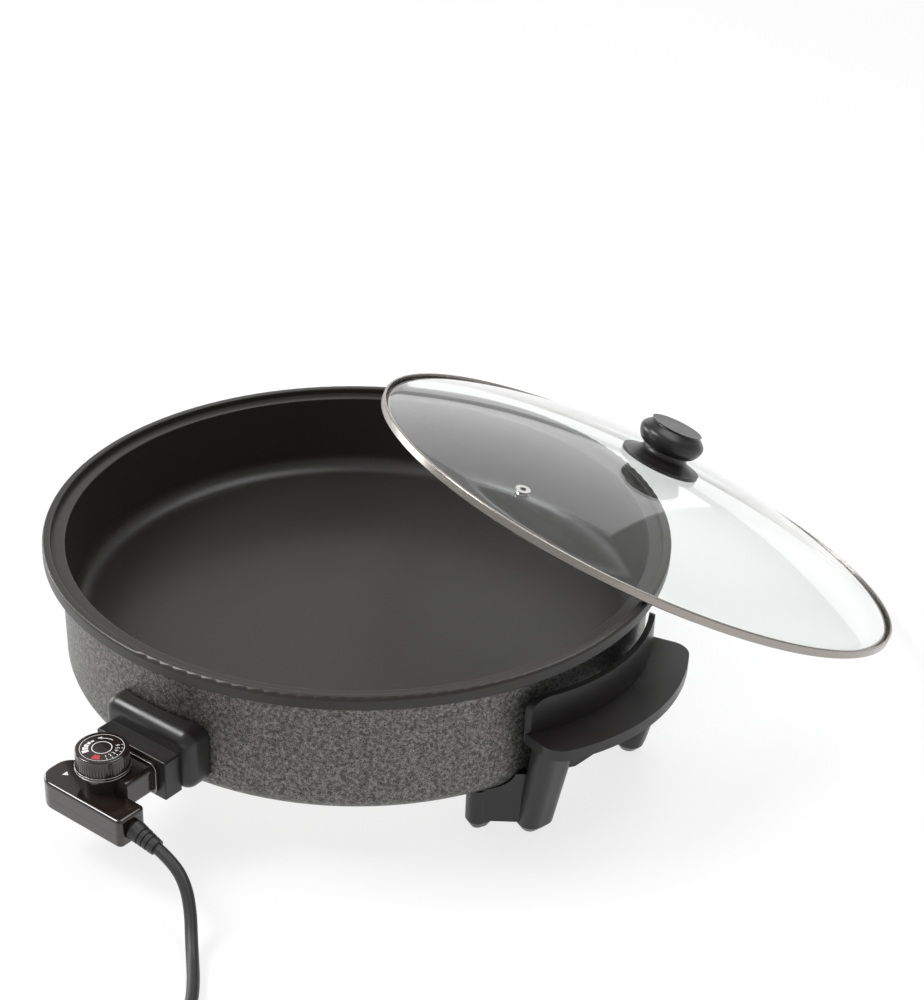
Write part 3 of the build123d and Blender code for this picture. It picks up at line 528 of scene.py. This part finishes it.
def make_dial_print():
    white = [arc_band(*circle, a, a + 30, 6) for circle in CIRCLES for a in range(0, 360, 30)]
    for step in range(WEDGES):
        start = WEDGE_START + WEDGE_PITCH * step
        outer = WEDGE_OUTER + WEDGE_GROWTH * step
        white.append(arc_band(WEDGE_INNER, outer, start, start + WEDGE_SPAN, 4))
    for step in range(NUMERALS):
        middle = NUMERAL_START + NUMERAL_PITCH * step
        white.append(arc_band(TICK_INNER, TICK_OUTER, middle - TICK_HALF, middle + TICK_HALF, 2))
        white += numeral(str(step + 1), NUMERAL_R, middle, NUMERAL_HEIGHT)
    white += [arc_band(*ARROW_ARC, 8), ARROW_HEAD]
    shapes = [(corners, "white_print") for corners in white] + [(arc_band(*RED_MARK, 6), "red_print")]
    flat_piece("dial_print", "dial", DIAL_CENTRE, DIAL_FACE_Z, shapes)


def make_pointer():
    shapes = [(POINTER, "white_print")]
    flat_piece("pointer_mark", "thermostat", POINTER_CENTRE, POINTER_Z, shapes)


WIRE_SIDES = 8


def swept_ring(name, body, path, normal, wire_r, look):
    """A thin closed wire along path, in millimetres. normal: the normal of the path's plane."""
    side = Vector(normal)
    work = bmesh.new()
    rings = []
    count = len(path)
    for index in range(count):
        here = Vector(path[index])
        along = (Vector(path[(index + 1) % count]) - Vector(path[index - 1])).normalized()
        up = along.cross(side).normalized()
        loop = []
        for k in range(WIRE_SIDES):
            a = 2 * math.pi * k / WIRE_SIDES
            loop.append(work.verts.new((here + (side * math.cos(a) + up * math.sin(a)) * wire_r) * MM))
        rings.append(loop)
    for index in range(count):
        first, second = rings[index], rings[(index + 1) % count]
        for k in range(WIRE_SIDES):
            after = (k + 1) % WIRE_SIDES
            work.faces.new((first[k], first[after], second[after], second[k]))
    bmesh.ops.recalc_face_normals(work, faces=work.faces)
    mesh = bpy.data.meshes.new(name)
    work.to_mesh(mesh)
    work.free()
    mesh.materials.append(LOOKS[look])
    mesh.shade_smooth()
    piece = add_object(name, mesh)
    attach(piece, body)


def circle_path(centre, radius, z, steps=96):
    angles = [2 * math.pi * i / steps for i in range(steps)]
    return [(centre[0] + radius * math.cos(a), centre[1] + radius * math.sin(a), z) for a in angles]


def rounded_rectangle_path(centre, size, radius, steps=6):
    """A rectangle in a plane that faces along Y, with rounded corners."""
    centre_x, y, centre_z = centre
    width, height = size
    path = []
    for quarter, (sx, sz) in enumerate(((1, 1), (-1, 1), (-1, -1), (1, -1))):
        for i in range(steps + 1):
            a = math.radians(90 * quarter + 90 * i / steps)
            x = centre_x + sx * (width / 2 - radius) + radius * math.cos(a)
            z = centre_z + sz * (height / 2 - radius) + radius * math.sin(a)
            path.append((x, y, z))
    return path


make_dial_print()
make_pointer()
for ring_name, rise in DIAL_LINES:
    ring_path = circle_path(DIAL_CENTRE, DIAL_SKIRT_R - DIAL_LINE_SINK, DIAL_BOTTOM + rise)
    swept_ring(ring_name, "dial", ring_path, (0, 0, 1), DIAL_LINE_WIRE_R, "trim")
nose_path = rounded_rectangle_path(NOSE_TRIM_CENTRE, NOSE_TRIM_SIZE, NOSE_TRIM_CORNER_R)
swept_ring("nose_trim", "thermostat", nose_path, (0, 1, 0), NOSE_TRIM_WIRE_R, "trim")

# ---- stage, lights and camera -------------------------------------------------------------------


FLOOR_HALF = 12.0  # metres
FLOOR_GAP = 0.05


def make_floor():
    """A white sheet that glows a little, so that it stays white with a faint shadow on it."""
    mesh = bpy.data.meshes.new("floor")
    z = (TABLE - FLOOR_GAP) * MM
    signs = ((-1, -1), (1, -1), (1, 1), (-1, 1))
    mesh.from_pydata([(x * FLOOR_HALF, y * FLOOR_HALF, z) for x, y in signs], [], [(0, 1, 2, 3)])
    floor = add_object("floor", mesh)
    paint = Shader("floor_paint", (0.22, 0.22, 0.22), 0.9)
    paint.set(Specular_IOR_Level=0.1, Emission_Color=(1.0, 1.0, 1.0, 1.0), Emission_Strength=0.76)
    mesh.materials.append(paint.material)


# name, place and target in metres, width and height in metres, power in watts
SOFTBOXES = (
    ("key", (-1.0, -0.75, 1.4), (0, 0, 0), (0.7, 0.7), 26.0),
    ("top", (0.3, 0.6, 1.8), (0.1, 0.1, 0), (1.4, 0.9), 14.0),
    ("back", (-1.5, 2.4, 0.9), (0, 0, 0), (2.4, 1.5), 9.0),
    ("left", (-1.9, -0.2, 0.35), (0, 0, 0), (0.9, 0.7), 12.0),
)
WORLD_STRENGTH = 0.5


def softbox(name, place, target, size, power):
    light = bpy.data.lights.new(name, "AREA")
    light.shape = "RECTANGLE"
    light.size, light.size_y = size
    light.energy = power
    lamp = add_object(name, light)
    lamp.location = place
    lamp.rotation_euler = (Vector(target) - Vector(place)).to_track_quat("-Z", "Y").to_euler()


def make_lights():
    world = bpy.data.worlds.new("studio")
    bpy.context.scene.world = world
    world.use_nodes = True
    back = world.node_tree.nodes["Background"]
    back.inputs["Color"].default_value = (1.0, 1.0, 1.0, 1.0)
    back.inputs["Strength"].default_value = WORLD_STRENGTH
    for box in SOFTBOXES:
        softbox(*box)


# angles in degrees, lengths in millimetres
CAMERA_AZIMUTH = 36.2
CAMERA_ELEVATION = 29.02
CAMERA_ROLL = 2.2
CAMERA_DISTANCE = 1325.0
CAMERA_SHIFT = (68.1, 13.7)  # how far the camera stands to its right and up from the pan's axis
CAMERA_LENS = 72.4


def make_camera():
    azimuth = math.radians(CAMERA_AZIMUTH)
    elevation = math.radians(CAMERA_ELEVATION)
    away = Vector((math.sin(azimuth), -math.cos(azimuth), 0))
    back = away * math.cos(elevation) + Vector((0, 0, math.sin(elevation)))
    right = Vector((math.cos(azimuth), math.sin(azimuth), 0))
    up = back.cross(right)
    roll = math.radians(CAMERA_ROLL)
    turned_right = right * math.cos(roll) + up * math.sin(roll)
    turned_up = up * math.cos(roll) - right * math.sin(roll)
    place = Vector((0, 0, RIM_TOP)) + back * CAMERA_DISTANCE
    place += turned_right * CAMERA_SHIFT[0] + turned_up * CAMERA_SHIFT[1]
    camera_data = bpy.data.cameras.new("camera")
    camera_data.lens = CAMERA_LENS
    camera_data.clip_end = 100.0
    camera = add_object("camera", camera_data)
    turn = Matrix((turned_right, turned_up, back)).transposed()
    camera.matrix_world = Matrix.Translation(place * MM) @ turn.to_4x4()
    bpy.context.scene.camera = camera


make_floor()
make_lights()
make_camera()
bpy.context.scene.view_settings.view_transform = "Standard"
